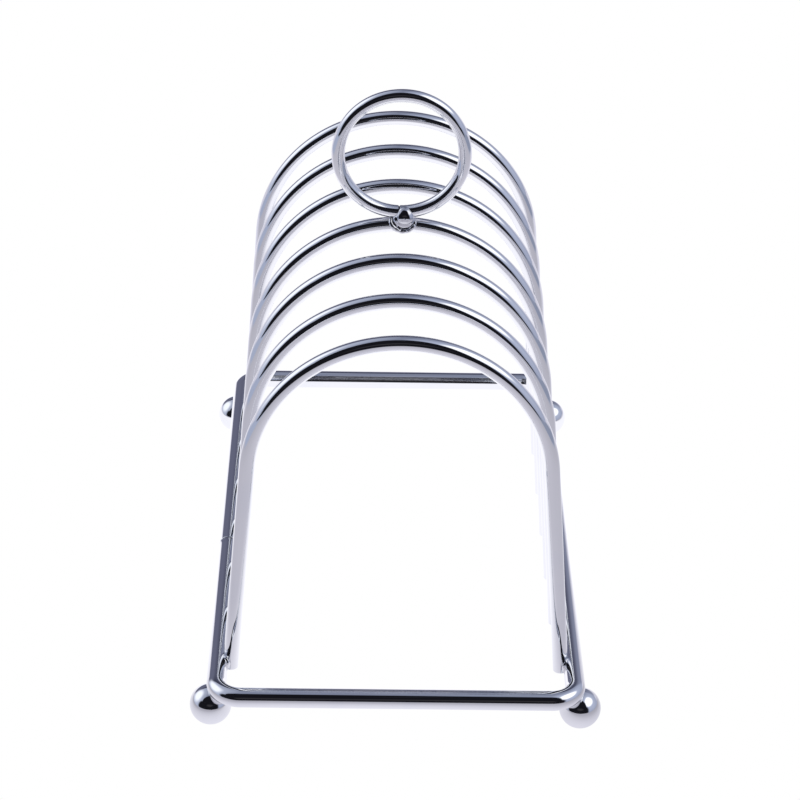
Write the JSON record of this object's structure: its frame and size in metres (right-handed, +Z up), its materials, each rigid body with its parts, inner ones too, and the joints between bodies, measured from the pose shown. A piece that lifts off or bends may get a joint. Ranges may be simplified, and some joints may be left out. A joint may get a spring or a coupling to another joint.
{
  "type": "toast rack",
  "caption": "Welded wire toast rack: a row of arches on a rounded rectangular wire base with ball feet, and an upright ring handle on the middle arch.",
  "frame": {"origin": "on the table, below the crown of the middle arch, in the middle between the four feet", "axes": "+Z up; +X across the rack, to the right when it is seen from its wider end; +Y along the rack, from its wider end to its narrower end"},
  "size_m": [0.1036, 0.1714, 0.141],
  "materials": {
    "base_wire": "bright chrome plating on steel wire",
    "arch_wire": "bright chrome plating on steel wire",
    "ring_wire": "bright chrome plating on steel wire",
    "bead": "bright chrome plating on a steel ball",
    "ball_foot": "bright chrome plating on steel balls"
  },
  "bodies": {
    "root": {"base_frame": "base_wire", "arch_1": "arch_wire", "arch_2": "arch_wire", "arch_3": "arch_wire", "arch_4": "arch_wire", "arch_5": "arch_wire", "arch_6": "arch_wire", "arch_7": "arch_wire", "handle_ring": "ring_wire", "handle_bead": "bead", "foot_front_left": "ball_foot", "foot_front_right": "ball_foot", "foot_rear_left": "ball_foot", "foot_rear_right": "ball_foot"}
  },
  "joints": []
}
